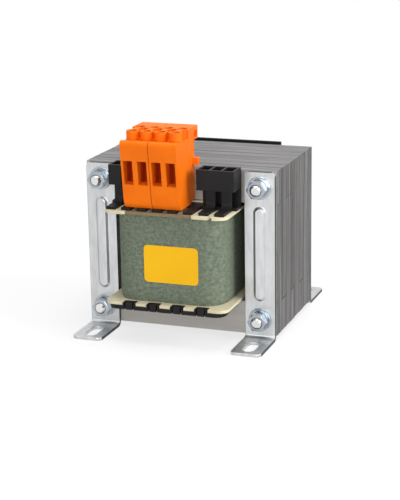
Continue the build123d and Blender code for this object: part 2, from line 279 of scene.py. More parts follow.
@dataclass(frozen=True)
class Finish:
    """One surface finish: a Principled shader with a shared effect in colour, roughness and bump."""

    name: str
    colour: Triple
    shade: Triple
    roughness: Pair
    effect: Effect
    scale: float
    stretch: Triple = (1.0, 1.0, 1.0)
    contrast: Pair = (0.35, 0.65)
    metallic: float = 0.0
    bump: float = 0.2
    bump_mm: float = 0.05
    coat: float = 0.0
    specular: float = 0.5
    tone: Pair | None = None

    def material(self) -> Material:
        """Build the material, or give it if it is already there.

        Returns:
            The procedural material of this finish.
        """
        if self.name in MATERIALS:
            return MATERIALS[self.name]
        material = MATERIALS[self.name] = bpy.data.materials.new(self.name)
        material.use_nodes = True
        material.diffuse_color = (*self.colour, 1.0)
        shader = material.node_tree.nodes["Principled BSDF"]
        shader.inputs["Metallic"].default_value = self.metallic
        shader.inputs["Specular IOR Level"].default_value = self.specular
        shader.inputs["Coat Weight"].default_value = self.coat
        self._surface(Graph(material.node_tree), shader)
        return material

    def _surface(self, graph: Graph, shader: Node) -> None:
        """Join the effect to colour, roughness and normal.

        Args:
            graph: the material's graph.
            shader: its Principled shader.
        """
        place = graph.add("ShaderNodeTexCoord")
        effect = graph.add("ShaderNodeGroup", node_tree=EFFECTS.group(self.effect))
        effect.inputs["Scale"].default_value = self.scale
        effect.inputs["Stretch"].default_value = self.stretch
        graph.join(place.outputs["Object"], effect.inputs["Vector"])
        colour = graph.blend(graph.span(effect.outputs["Broad"], self.contrast), self.colour, self.shade)
        if self.tone:
            colour = self._toned(graph, colour)
        graph.join(colour, shader.inputs["Base Color"])
        graph.join(graph.span(effect.outputs["Fine"], after=self.roughness), shader.inputs["Roughness"])
        bump = graph.add("ShaderNodeBump", {"Strength": self.bump, "Distance": self.bump_mm * MM})
        graph.join(effect.outputs["Fine"], bump.inputs["Height"])
        graph.join(bump.outputs["Normal"], shader.inputs["Normal"])

    def _toned(self, graph: Graph, colour: NodeSocket) -> NodeSocket:
        """Make the colour lighter or darker by the piece's own tone attribute.

        Args:
            graph: the material's graph.
            colour: socket with the even colour.

        Returns:
            The socket with the toned colour.
        """
        attribute = graph.add("ShaderNodeAttribute", attribute_name=TONE)
        toned = graph.add("ShaderNodeHueSaturation")
        graph.join(graph.span(attribute.outputs["Fac"], after=self.tone), toned.inputs["Value"])
        graph.join(colour, toned.inputs["Color"])
        return toned.outputs["Color"]


ORANGE = Finish("orange_nylon", (0.86, 0.170, 0.004), (0.80, 0.150, 0.004), (0.38, 0.52),
                Effect.GRAIN, 2600.0, bump=0.12, bump_mm=0.03, specular=0.10)
BLACK = Finish("black_nylon", (0.006, 0.0055, 0.0058), (0.009, 0.008, 0.0085), (0.40, 0.54),
               Effect.GRAIN, 2200.0, bump=0.15, bump_mm=0.03, specular=0.18)
IVORY = Finish("ivory_nylon", (0.65, 0.59, 0.415), (0.60, 0.54, 0.37), (0.42, 0.56),
               Effect.GRAIN, 1800.0, bump=0.10, bump_mm=0.03, specular=0.25)
WRAP = Finish("grey_green_wrap", (0.095, 0.118, 0.081), (0.190, 0.222, 0.167), (0.66, 0.86),
              Effect.FIBRE, 2300.0, stretch=(0.8, 0.8, 1.0), contrast=(0.34, 0.66),
              bump=0.5, bump_mm=0.10, specular=0.18)
PRESSBOARD = Finish("pressboard_fibres", (0.24, 0.18, 0.10), (0.19, 0.14, 0.075), (0.70, 0.85),
                    Effect.FIBRE, 1800.0, bump=0.2, specular=0.2)
ZINC_SHEET = Finish("plated_sheet", (0.575, 0.585, 0.59), (0.49, 0.50, 0.51), (0.30, 0.44),
                    Effect.STREAK, 1500.0, stretch=(1.0, 1.0, 0.25), metallic=1.0, bump=0.12, bump_mm=0.02)
# Dark sheared edges: partly the cut edge's own dull tone, partly painted shade of the gap to the core
SHEARED_EDGE_SHADE = replace(ZINC_SHEET, name="sheared_edge_painted_shade", colour=(0.085, 0.085, 0.087),
                  shade=(0.06, 0.06, 0.062), roughness=(0.45, 0.60))
ZINC_BLUE = Finish("zinc_blue_passivate", (0.44, 0.475, 0.51), (0.32, 0.355, 0.40), (0.15, 0.28),
                   Effect.GRAIN, 1500.0, metallic=1.0, bump=0.06, bump_mm=0.02)
ZINC_BRIGHT = replace(ZINC_BLUE, name="zinc_bright_plate", colour=(0.76, 0.76, 0.74),
                      shade=(0.64, 0.645, 0.64), roughness=(0.16, 0.30))
STEEL_EDGE = Finish("lamination_sides", (0.165, 0.162, 0.162), (0.036, 0.036, 0.038), (0.42, 0.62),
                    Effect.STREAK, 2300.0, stretch=(0.03, 1.0, 0.03), contrast=(0.34, 0.66),
                    metallic=0.35, bump=0.25, bump_mm=0.05, tone=(0.30, 1.70))
# Tops of the sheets are painted lighter than their sides: a painted sheen
STEEL_TOP_SHEEN = replace(STEEL_EDGE, name="lamination_tops_painted_sheen", colour=(0.225, 0.223, 0.227),
                    shade=(0.13, 0.13, 0.134), scale=2600.0, stretch=(0.06, 1.0, 0.06), tone=(0.60, 1.40))
# Near-black painted shade on the sheet faces inside the core's windows, where shade falls between core and
# coil
STEEL_WINDOW_SHADE = Finish("window_painted_shade", (0.020, 0.018, 0.016), (0.030, 0.026, 0.022), (0.50, 0.65),
                      Effect.GRAIN, 900.0, specular=0.2)
STEEL_FACE = Finish("lamination_faces", (0.38, 0.36, 0.335), (0.33, 0.31, 0.29), (0.38, 0.52),
                    Effect.STREAK, 700.0, stretch=(0.10, 1.0, 1.0), metallic=0.5, bump=0.06, bump_mm=0.02)
COPPER = Finish("enamelled_copper", (0.55, 0.19, 0.07), (0.42, 0.13, 0.05), (0.22, 0.34),
                Effect.STREAK, 1400.0, stretch=(0.05, 0.05, 1.0), metallic=1.0, bump=0.4, bump_mm=0.10,
                coat=0.4)
FILM = Finish("polyester_film", (0.60, 0.42, 0.10), (0.52, 0.35, 0.08), (0.20, 0.34),
              Effect.GRAIN, 900.0, coat=0.2)
# Clamps painted deep red-orange: a painted reflection of orange light bounced inside the housings
CLAMP_ORANGE_BOUNCE = Finish("clamp_painted_orange_bounce", (0.80, 0.085, 0.012), (0.70, 0.070, 0.010), (0.45, 0.60),
               Effect.GRAIN, 1700.0, metallic=0.5, bump=0.08, bump_mm=0.02)
SCREW = replace(CLAMP_ORANGE_BOUNCE, name="nickel_screw", colour=(0.50, 0.48, 0.44), shade=(0.40, 0.385, 0.36),
                roughness=(0.24, 0.38), metallic=1.0)
YELLOW = Finish("plain_yellow_vinyl", (0.86, 0.47, 0.006), (0.82, 0.44, 0.005), (0.36, 0.48),
                Effect.GRAIN, 1300.0, bump=0.05, bump_mm=0.02, specular=0.18)


def new_object(name: str, mesh: Mesh) -> Object:
    """Put a mesh in the scene as an object at the origin.

    Args:
        name: object name.
        mesh: its mesh.

    Returns:
        The new object.
    """
    piece = bpy.data.objects.new(name, mesh)
    bpy.context.scene.collection.objects.link(piece)
    return piece


@contextmanager
def editing(mesh: Mesh) -> Iterator[bmesh.types.BMesh]:
    """Open a mesh for editing and write it back.

    Args:
        mesh: mesh that is edited.

    Returns:
        A context that holds the editable mesh.
    """
    work = bmesh.new()
    work.from_mesh(mesh)
    yield work
    work.to_mesh(mesh)
    work.free()


def mesh_from(name: str, points: Iterable[Sequence[float]], faces: Iterable[Sequence[int]]) -> Mesh:
    """Make a mesh with outward faces.

    Args:
        name: mesh name.
        points: vertices in metres.
        faces: vertex numbers of each face.

    Returns:
        The mesh, doubles merged and normals outwards.
    """
    mesh = bpy.data.meshes.new(name)
    mesh.from_pydata([tuple(p) for p in points], [], [tuple(f) for f in faces])
    with editing(mesh) as work:
        bmesh.ops.remove_doubles(work, verts=work.verts, dist=MERGE)
        bmesh.ops.recalc_face_normals(work, faces=work.faces)
    return mesh


def skin(name: str, rings: Sequence[Sequence[Vector]], closed: bool, sharp_degrees: float) -> Mesh:
    """Skin a list of rings.

    Args:
        name: mesh name.
        rings: rings with as many points each.
        closed: join the last ring to the first, instead of capping both.
        sharp_degrees: edges with a larger angle stay crisp.

    Returns:
        The smooth-shaded mesh.
    """
    count, total = len(rings[0]), len(rings)
    faces = []
    for r in range(total if closed else total - 1):
        a, b = r * count, (r + 1) % total * count
        faces += [(a + i, a + (i + 1) % count, b + (i + 1) % count, b + i) for i in range(count)]
    if not closed:
        faces += [tuple(range(count)), tuple(range((total - 1) * count, total * count))]
    mesh = mesh_from(name, [point for ring in rings for point in ring], faces)
    with editing(mesh) as work:
        for face in work.faces:
            face.smooth = True
        for edge in work.edges:
            edge.smooth = edge.calc_face_angle(0.0) < math.radians(sharp_degrees)
    return mesh


def rounded_corners(half: Pair, radius: float, steps: int) -> list[tuple[Vector, Vector]]:
    """Corner arcs of a rounded rectangle about the origin, in X and Y.

    Args:
        half: half its size in X and in Y.
        radius: radius of its corners.
        steps: steps of each arc.

    Returns:
        Point and outward direction of each step, anticlockwise from the start of the +X +Y corner.
    """
    arcs = []
    for corner, (sx, sy) in enumerate(((1, 1), (-1, 1), (-1, -1), (1, -1))):
        centre = Vector((sx * (half[0] - radius), sy * (half[1] - radius), 0))
        for i in range(steps + 1):
            angle = math.pi / 2 * (corner + i / steps)
            out = Vector((math.cos(angle), math.sin(angle), 0))
            arcs.append((centre + radius * out, out))
    return arcs


def settle(piece: Object) -> None:
    """Turn an object with modifiers into a plain mesh.

    Args:
        piece: object that keeps the evaluated mesh and loses its modifiers.
    """
    bpy.context.view_layer.update()
    graph = bpy.context.evaluated_depsgraph_get()
    ready = piece.evaluated_get(graph)
    mesh = bpy.data.meshes.new_from_object(ready, preserve_all_data_layers=True, depsgraph=graph)
    piece.modifiers.clear()
    piece.data = mesh


def softened_copy(node: str, name: str, radius_mm: float, segments: int = 2) -> Object:
    """Copy a CAD node with its edges rounded.

    Args:
        node: CAD node to copy.
        name: name of the new piece.
        radius_mm: rounding of every sharp edge.
        segments: facets of the rounding.

    Returns:
        The new object, with a plain mesh.
    """
    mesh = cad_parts[node].data.copy()
    mesh.materials.clear()
    with editing(mesh) as work:
        bmesh.ops.remove_doubles(work, verts=work.verts, dist=CAD_MERGE)
        bmesh.ops.dissolve_limit(work, angle_limit=math.radians(FACET_DEGREES),
                                 verts=work.verts, edges=work.edges)
        for part in (*work.faces, *work.edges):
            part.smooth = True
    piece = new_object(name, mesh)
    bevel = piece.modifiers.new("soft_edges", "BEVEL")
    bevel.width = radius_mm * MM
    bevel.segments = segments
    bevel.limit_method = "ANGLE"
    bevel.angle_limit = math.radians(EDGE_DEGREES)
    piece.modifiers.new("even_shading", "WEIGHTED_NORMAL").keep_sharp = True
    settle(piece)
    return piece


def place(piece: Object, slot: str, finish: Finish, *nodes: str) -> None:
    """Give a piece its finish, where it has none yet, attach it to the root body and hide the CAD nodes it
    stands for.

    Args:
        piece: finished object.
        slot: material slot of the record; not used.
        finish: its surface finish, or the main one of several.
        nodes: CAD nodes that it stands for.
    """
    if not piece.data.materials:
        piece.data.materials.append(finish.material())
    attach(piece, ROOT)
    if nodes:
        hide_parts(*nodes)
    log.info("%s: %d faces, %s", piece.name, len(piece.data.polygons), finish.name)


def dress_node(node: str, finish: Finish) -> None:
    """Give a CAD node that stays a procedural finish.

    Args:
        node: name of the CAD node.
        finish: its surface finish.
    """
    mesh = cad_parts[node].data
    mesh.materials.clear()
    mesh.materials.append(finish.material())
    log.info("%s: CAD solid, %s", node, finish.name)


def node_box(node: str) -> tuple[Vector, Vector]:
    """Lowest and highest corner of a CAD node."""
    low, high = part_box(node)
    return Vector(low), Vector(high)


class PatternTree:
    """Geometry Nodes tree that repeats a template, with named inputs."""

    def __init__(self, name: str, sockets: dict[str, str]) -> None:
        """Make a tree with its inputs.

        Args:
            name: tree name.
            sockets: socket kind by input name.
        """
        self.tree = bpy.data.node_groups.new(name, "GeometryNodeTree")
        face = self.tree.interface
        face.new_socket("Geometry", in_out="OUTPUT", socket_type="NodeSocketGeometry")
        face.new_socket("Geometry", in_out="INPUT", socket_type="NodeSocketGeometry")
        self.identifiers: dict[str, str] = {}
        for socket, kind in sockets.items():
            item = face.new_socket(socket, in_out="INPUT", socket_type="NodeSocket" + kind)
            self.identifiers[socket] = item.identifier
        self.graph = Graph(self.tree)
        self.enter = self.graph.add("NodeGroupInput").outputs

    def copies(self, points: NodeSocket) -> Node:
        """Put the Template input on each point.

        Args:
            points: socket with the points.

        Returns:
            The node that makes the instances.
        """
        template = self.graph.add("GeometryNodeObjectInfo")
        node = self.graph.add("GeometryNodeInstanceOnPoints")
        self.graph.join(self.enter["Template"], template.inputs["Object"])
        self.graph.join(points, node.inputs["Points"])
        self.graph.join(template.outputs["Geometry"], node.inputs["Instance"])
        return node

    def paint(self, geometry: NodeSocket, finish: str, chosen: NodeSocket | None = None) -> NodeSocket:
        """Set a material.

        Args:
            geometry: what is painted.
            finish: name of the material input.
            chosen: faces that get it, or all of them.

        Returns:
            The painted geometry.
        """
        node = self.graph.add("GeometryNodeSetMaterial")
        self.graph.join(geometry, node.inputs["Geometry"])
        self.graph.join(self.enter[finish], node.inputs["Material"])
        if chosen:
            self.graph.join(chosen, node.inputs["Selection"])
        return node.outputs["Geometry"]

    def real(self, instances: NodeSocket) -> NodeSocket:
        """Turn instances into real geometry.

        Args:
            instances: socket with the instances.

        Returns:
            The socket with their meshes, joined.
        """
        node = self.graph.add("GeometryNodeRealizeInstances")
        self.graph.join(instances, node.inputs["Geometry"])
        return node.outputs["Geometry"]

    def end(self, geometry: NodeSocket) -> None:
        """Join the result to the group's output."""
        self.graph.join(geometry, self.graph.add("NodeGroupOutput").inputs["Geometry"])

    def run(self, name: str, points: Iterable[Vector], template: Mesh, values: dict[str, Any]) -> Object:
        """Run the tree on a new object and keep the result as its plain mesh.

        Args:
            name: name of the new object.
            points: its own vertices, for a tree that reads them.
            template: mesh that is repeated.
            values: value of each other input.

        Returns:
            The new object.
        """
        pattern = new_object(name + "_pattern", template)
        piece = new_object(name, mesh_from(name, points, []))
        modifier = piece.modifiers.new(self.tree.name, "NODES")
        modifier.node_group = self.tree
        for key, value in {"Template": pattern, **values}.items():
            modifier[self.identifiers[key]] = value
        settle(piece)
        bpy.data.objects.remove(pattern)
        return piece


class PlacesTree(PatternTree):
    """Copies a template to each vertex of the object."""

    def __init__(self) -> None:
        """Build the tree."""
        super().__init__("copies_at_places", {"Template": "Object", "Finish": "Material"})
        copies = self.copies(self.enter["Geometry"])
        self.end(self.paint(self.real(copies.outputs["Instances"]), "Finish"))


class SheetStackTree(PatternTree):
    """Stacks lamination sheets along Y: each second packet turned over, all a little out of line."""

    # How much of a sheet's tone its whole packet shares
    PACKET_SHARE = 0.2
    # A face looks along an axis when this much of its normal does
    FACING = 0.5

    def __init__(self) -> None:
        """Build the tree."""
        super().__init__("lamination_stack", {
            "Template": "Object", "Sides": "Material", "Tops": "Material", "Inside": "Material",
            "Faces": "Material", "Sheets": "Int", "Packet": "Int", "Pitch": "Float", "Start": "Vector",
            "Window": "Vector", "Sheet Jog": "Float", "Packet Jog": "Float", "Seed": "Int"})
        graph = self.graph
        self.index = graph.add("GeometryNodeInputIndex").outputs["Index"]
        self.packet = graph.math("FLOOR", graph.math("DIVIDE", self.index, self.enter["Packet"]))
        line = graph.add("GeometryNodeMeshLine")
        graph.join(self.enter["Sheets"], line.inputs["Count"])
        graph.join(self.enter["Start"], line.inputs["Start Location"])
        graph.join(graph.combine(Y=self.enter["Pitch"]), line.inputs["Offset"])
        points = line.outputs["Mesh"]
        for jog, count in (("Sheet Jog", self.index), ("Packet Jog", self.packet)):
            moved = graph.add("GeometryNodeSetPosition")
            graph.join(points, moved.inputs["Geometry"])
            graph.join(self._jog(jog, count), moved.inputs["Offset"])
            points = moved.outputs["Geometry"]
        copies = self.copies(points)
        graph.join(self._turn(), copies.inputs["Rotation"])
        toned = graph.add("GeometryNodeStoreNamedAttribute", {"Name": TONE},
                          data_type="FLOAT", domain="INSTANCE")
        graph.join(copies.outputs["Instances"], toned.inputs["Geometry"])
        graph.join(self._tone(), toned.inputs["Value"])
        stack = self.paint(self.real(toned.outputs["Geometry"]), "Sides")
        # Tops get a lighter painted sheen, and faces inside the windows a near-black painted shade; front and
        # back faces keep their own finish
        for finish, chosen in (("Tops", self._looks("Z")), ("Inside", self._in_window()),
                               ("Faces", self._looks("Y"))):
            stack = self.paint(stack, finish, chosen)
        self.end(stack)

    def _jog(self, reach: str, count: NodeSocket) -> NodeSocket:
        """Random offset in X and Z.

        Args:
            reach: name of the input with the largest offset.
            count: number of the sheet or packet that moves as one.

        Returns:
            The socket with the offset.
        """
        graph = self.graph
        jog = graph.add("FunctionNodeRandomValue", data_type="FLOAT_VECTOR")
        for end, sign in (("Min", -1.0), ("Max", 1.0)):
            size = graph.math("MULTIPLY", self.enter[reach], sign)
            graph.join(graph.combine(X=size, Z=size), jog.inputs[end])
        graph.join(count, jog.inputs["ID"])
        graph.join(self.enter["Seed"], jog.inputs["Seed"])
        return jog.outputs["Value"]

    def _turn(self) -> NodeSocket:
        """Half a turn about Y for the sheets of each second packet.

        Returns:
            The socket with the rotation.
        """
        graph = self.graph
        odd = graph.math("MODULO", self.packet, 2.0)
        rotation = graph.add("FunctionNodeEulerToRotation")
        graph.join(graph.combine(Y=graph.math("MULTIPLY", odd, math.pi)), rotation.inputs["Euler"])
        return rotation.outputs["Rotation"]

    def _tone(self) -> NodeSocket:
        """Tone of each sheet: mostly its own, partly its packet's, and none at a packet's first sheet.

        Returns:
            The socket with the tone, from zero to one.
        """
        graph = self.graph
        shares = []
        for count, weight in ((self.index, 1 - self.PACKET_SHARE), (self.packet, self.PACKET_SHARE)):
            share = graph.add("FunctionNodeRandomValue", data_type="FLOAT")
            graph.join(count, share.inputs["ID"])
            graph.join(self.enter["Seed"], share.inputs["Seed"])
            value = [out for out in share.outputs if out.type == "VALUE"][0]
            shares.append(graph.math("MULTIPLY", value, weight))
        inner = graph.math("SIGN", graph.math("MODULO", self.index, self.enter["Packet"]))
        return graph.math("MULTIPLY", graph.math("ADD", *shares), inner)

    def _looks(self, axis: str) -> NodeSocket:
        """Find the faces that look along an axis.

        Args:
            axis: name of the axis.

        Returns:
            The socket that is true on these faces.
        """
        graph = self.graph
        normal = graph.split(graph.add("GeometryNodeInputNormal").outputs["Normal"])
        return graph.math("GREATER_THAN", graph.math("ABSOLUTE", normal[axis]), self.FACING)

    def _in_window(self) -> NodeSocket:
        """Find the faces within the Window input's reach of the core's middle, in X and Z, that get the
        painted shade.

        Returns:
            The socket that is true on these faces.
        """
        graph = self.graph
        away = graph.add("ShaderNodeVectorMath", operation="SUBTRACT")
        graph.join(graph.add("GeometryNodeInputPosition").outputs["Position"], away.inputs[0])
        graph.join(self.enter["Start"], away.inputs[1])
        spot, reach = graph.split(away.outputs["Vector"]), graph.split(self.enter["Window"])
        inside = [graph.math("LESS_THAN", graph.math("ABSOLUTE", spot[axis]), reach[axis])
                  for axis in ("X", "Z")]
        return graph.math("MULTIPLY", *inside)


@dataclass
class LaminationCore:
    """Core of E and I sheets, stacked in packets that are turned over one after the other."""

    packets: int = 8
    sheets_per_packet: int = 12
    sheet_gap_mm: float = 0.07
    seam_mm: float = 0.22
    hole_mm: float = 5.5
    hole_sides: int = 10
    sheet_jog_mm: float = 0.06
    packet_jog_mm: float = 0.09
    window_ease_limbs: float = 0.032
    # How far past the windows the painted window shade reaches, in limb widths
    window_room_limbs: float = 0.1
    seeds: tuple[int, int] = (4, 11)

    def __post_init__(self) -> None:
        """Take the core's limb width, middle and depth from the frame."""
        low, high = node_box("e_laminations")
        self.limb = (high.x - low.x) / (2 * HALF_CORE[0])
        self.middle = (low + high) / 2
        self.depth = high.y - low.y

    def build(self) -> None:
        """Make the E and the I sheets, each as one piece."""
        tree = SheetStackTree()
        kinds = (("e_sheets", "e_laminations", self._e_outline(), -BOLT[1]),
                 ("i_sheets", "i_laminations", self._i_outline(), BOLT[1]))
        for (name, node, outline, hole_z), seed in zip(kinds, self.seeds):
            place(self._stack(tree, name, outline, hole_z, seed), "core_steel", STEEL_EDGE, node)

    def _e_outline(self) -> list[Pair]:
        """Outline of an E, its windows eased at the outer limbs.

        Returns:
            Corners in limb widths from the core's middle.
        """
        (x, z), (window, root), limb = HALF_CORE, HALF_WINDOW, HALF_LIMB
        window += self.window_ease_limbs
        return [(-x, -z), (x, -z), (x, root), (window, root), (window, -root), (limb, -root),
                (limb, root), (-limb, root), (-limb, -root), (-window, -root), (-window, root), (-x, root)]

    def _i_outline(self) -> list[Pair]:
        """Outline of an I, clear of the E by the seam.

        Returns:
            Corners in limb widths from the core's middle.
        """
        x, top = HALF_CORE
        bottom = HALF_WINDOW[1] + self.seam_mm * MM / self.limb
        return [(-x, bottom), (x, bottom), (x, top), (-x, top)]

    def _sheet(self, name: str, outline: list[Pair], hole_z: float, thick: float) -> Mesh:
        """Mesh of one sheet with its two bolt holes.

        Args:
            name: mesh name.
            outline: corners in limb widths.
            hole_z: height of the holes in limb widths.
            thick: sheet thickness in metres.

        Returns:
            A closed plate around the core's middle, small enough to stay in the core when jogged.
        """
        limb, radius = self.limb, self.hole_mm * MM / 2
        room = (self.sheet_jog_mm + self.packet_jog_mm) * MM
        reach_x, reach_z = (half * limb - room for half in HALF_CORE)
        rings = [[(max(-reach_x, min(reach_x, x * limb)), max(-reach_z, min(reach_z, z * limb)))
                  for x, z in outline]]
        angles = [2 * math.pi * i / self.hole_sides for i in range(self.hole_sides)]
        for hole_x in (-BOLT[0], BOLT[0]):
            rings.append([(hole_x * limb + radius * math.cos(a), hole_z * limb + radius * math.sin(a))
                          for a in angles])
        mesh = bpy.data.meshes.new(name)
        with editing(mesh) as work:
            edges = []
            for ring in rings:
                verts = [work.verts.new((x, -thick / 2, z)) for x, z in ring]
                edges += [work.edges.new((a, b)) for a, b in zip(verts, verts[1:] + verts[:1])]
            bmesh.ops.triangle_fill(work, use_beauty=True, edges=edges)
            grown = bmesh.ops.extrude_face_region(work, geom=list(work.faces))
            moved = [v for v in grown["geom"] if isinstance(v, bmesh.types.BMVert)]
            bmesh.ops.translate(work, vec=(0, thick, 0), verts=moved)
            bmesh.ops.recalc_face_normals(work, faces=work.faces)
        return mesh

    def _stack(self, tree: SheetStackTree, name: str, outline: list[Pair], hole_z: float,
               seed: int) -> Object:
        """Stack a sheet through the core's depth.

        Args:
            tree: the stacking tree.
            name: name of the piece.
            outline: the sheet's corners in limb widths.
            hole_z: height of its bolt holes in limb widths.
            seed: seed of its jogs and tones.

        Returns:
            The stack as a plain mesh.
        """
        count = self.packets * self.sheets_per_packet
        pitch = self.depth / count
        sheet = self._sheet(name + "_pattern", outline, hole_z, pitch - self.sheet_gap_mm * MM)
        start = self.middle - Vector((0, self.depth / 2 - pitch / 2, 0))
        # Reach of the painted window shade about the core's middle
        window_x, window_z = ((half + self.window_room_limbs) * self.limb for half in HALF_WINDOW)
        return tree.run(name, [], sheet, {
            "Sides": STEEL_EDGE.material(), "Tops": STEEL_TOP_SHEEN.material(), "Inside": STEEL_WINDOW_SHADE.material(),
            "Faces": STEEL_FACE.material(), "Sheets": count, "Packet": self.sheets_per_packet,
            "Pitch": pitch, "Start": tuple(start), "Window": (window_x, 0, window_z),
            "Sheet Jog": self.sheet_jog_mm * MM, "Packet Jog": self.packet_jog_mm * MM, "Seed": seed})


@dataclass
class FootBrackets:
    """Four folded sheet brackets with a pressed bead and a slotted foot."""

    edge_mm: float = 0.25
    segments: int = 3

    def build(self) -> None:
        """Round the sheet edges of each bracket."""
        for end in End:
            for side in Side:
                node = f"{end.value}_{side.value}_bracket"
                piece = softened_copy(node, node + "_sheet", self.edge_mm, self.segments)
                self._dress(piece.data, *node_box(node))
                place(piece, "zinc_sheet", ZINC_SHEET, node)

    def _dress(self, mesh: Mesh, low: Vector, high: Vector) -> None:
        """Plate a bracket and paint its sheared side and top edges dark, partly their own tone and partly
        painted shade.

        Args:
            mesh: the bracket's mesh.
            low: lowest corner of its box.
            high: highest corner of its box.
        """
        for finish in (ZINC_SHEET, SHEARED_EDGE_SHADE):
            mesh.materials.append(finish.material())
        # Faces at the bracket's sides and top get the dark edge finish, part of it painted shade
        for face in mesh.polygons:
            inward = min(face.center.x - low.x, high.x - face.center.x, high.z - face.center.z)
            face.material_index = int(inward < self.edge_mm * MM / 2)


@dataclass
class CoreFasteners:
    """Core bolts with their threads, nuts, flat washers and spring washers."""

    steps: int = 36
    sharp_degrees: float = 28.0
    bolt_mm: float = 5.0
    bore_room_mm: float = 0.1
    head_mm: float = 3.5
    washer_mm: float = 1.0
    washer_round_mm: float = 0.18
    spring_gap_degrees: float = 14.0
    spring_rise_mm: float = 0.35
    chamfer_start: float = 0.97  # share of half the flats
    chamfer_degrees: float = 30.0
    nut_lead_mm: float = 0.35
    thread_pitch_mm: float = 0.8
    thread_depth_mm: float = 0.42
    threaded_mm: float = 9.0
    rows_per_pitch: int = 8
    end_chamfer_mm: float = 0.7

    def __post_init__(self) -> None:
        """Take the bolts' places and the width of the nuts from the frame."""
        low, high = node_box("e_laminations")
        limb = (high.x - low.x) / (2 * HALF_CORE[0])
        self.aside, rise = (reach * limb for reach in BOLT)
        level = (low.z + high.z) / 2
        self.places = [(x, z) for x in (-self.aside, self.aside) for z in (level - rise, level + rise)]
        nut_low, nut_high = node_box("hex_nuts")
        self.half_flats = (nut_high.z - nut_low.z) / 2 - rise
        self.hex_start = self.half_flats * self.chamfer_start
        self.bolt = self.bolt_mm * MM / 2
        self.bore = self.bolt + self.bore_room_mm * MM

    def build(self) -> None:
        """Make each kind of fastener and copy it to its places."""
        self.tree = PlacesTree()
        low, high = node_box("hex_nuts")
        self._copies("hex_nuts", ZINC_BLUE, self._nut(high.y - low.y), low.y)
        low, high = node_box("flat_washers")
        thick = self.washer_mm * MM
        washer = self._washer(high.x - self.aside, thick)
        self._copies("flat_washers", ZINC_BLUE, washer, low.y, high.y - thick)
        low, high = node_box("spring_washers")
        self._copies("spring_washers", ZINC_BLUE, self._spring(high.x - self.aside, high.y - low.y), low.y)
        low, high = node_box("core_bolts")
        self._copies("core_bolts", ZINC_BRIGHT, self._bolt(low.y, high.y), 0.0)

    def _copies(self, node: str, finish: Finish, template: Mesh, *depths: float) -> None:
        """Copy a fastener to the four bolts, at each depth, and set it in the frame.

        Args:
            node: CAD node that the copies stand for.
            finish: surface finish.
            template: mesh of one fastener.
            depths: Y of each copy on a bolt.
        """
        spots = [Vector((x, y, z)) for x, z in self.places for y in depths]
        piece = self.tree.run(node + "_plated", spots, template, {"Finish": finish.material()})
        place(piece, "zinc_fastener", finish, node)

    def _around(self, radius: float, angle: float, y: float) -> Vector:
        """Point at an angle about Y, counted from straight up."""
        return Vector((-radius * math.sin(angle), y, radius * math.cos(angle)))

    def _circle(self, radius: float, y: float) -> list[Vector]:
        """Round ring about Y."""
        return [self._around(radius, 2 * math.pi * i / self.steps, y) for i in range(self.steps)]

    def _hex_ring(self, y: float, inward: float) -> list[Vector]:
        """Ring on the sides of a hexagon, lowered where the corners are chamfered.

        Args:
            y: depth of the end face.
            inward: sign of Y that points into the hexagon.

        Returns:
            One point for each step round the hexagon.
        """
        slope = math.tan(math.radians(self.chamfer_degrees))
        ring = []
        for i in range(self.steps):
            angle = 2 * math.pi * i / self.steps
            fold = (angle + math.pi / 6) % (math.pi / 3) - math.pi / 6
            radius = self.half_flats / math.cos(fold)
            ring.append(self._around(radius, angle, y + inward * (radius - self.hex_start) * slope))
        return ring

    def _hexagon(self, low: float, high: float) -> list[list[Vector]]:
        """Rings of a hexagon between two depths, its corners chamfered at both ends."""
        return [self._circle(self.hex_start, low), self._hex_ring(low, 1.0),
                self._hex_ring(high, -1.0), self._circle(self.hex_start, high)]

    def _nut(self, height: float) -> Mesh:
        """Hexagon nut, its bore countersunk at both ends.

        Args:
            height: its height, from Y zero.

        Returns:
            The mesh about the bolt's axis.
        """
        lead = self.nut_lead_mm * MM
        rings = self._hexagon(0.0, height)
        for radius, y in ((self.bolt + lead, height), (self.bolt, height - lead),
                          (self.bolt, lead), (self.bolt + lead, 0.0)):
            rings.append(self._circle(radius, y))
        return skin("nut", rings, True, self.sharp_degrees)

    def _washer(self, outer: float, thick: float) -> Mesh:
        """Flat washer with slightly rounded edges.

        Args:
            outer: its outer radius.
            thick: its thickness, from Y zero.

        Returns:
            The mesh about the bolt's axis.
        """
        soft, inner = self.washer_round_mm * MM, self.bore
        section = [(inner, soft), (inner + soft, 0), (outer - soft, 0), (outer, soft),
                   (outer, thick - soft), (outer - soft, thick), (inner + soft, thick), (inner, thick - soft)]
        return skin("washer", [self._circle(r, y) for r, y in section], True, self.sharp_degrees)

    def _spring(self, outer: float, thick: float) -> Mesh:
        """Split ring whose two ends stand apart along Y.

        Args:
            outer: its outer radius.
            thick: its height with the rise of the ends, from Y zero.

        Returns:
            The mesh about the bolt's axis.
        """
        rise = self.spring_rise_mm * MM
        wire = thick - rise
        gap = math.radians(self.spring_gap_degrees)
        loops = []
        for i in range(self.steps + 1):
            share = i / self.steps
            angle = gap / 2 + share * (2 * math.pi - gap)
            corners = ((self.bore, 0.0), (outer, 0.0), (outer, wire), (self.bore, wire))
            loops.append([self._around(r, angle, rise * share + y) for r, y in corners])
        return skin("spring", loops, False, self.sharp_degrees)

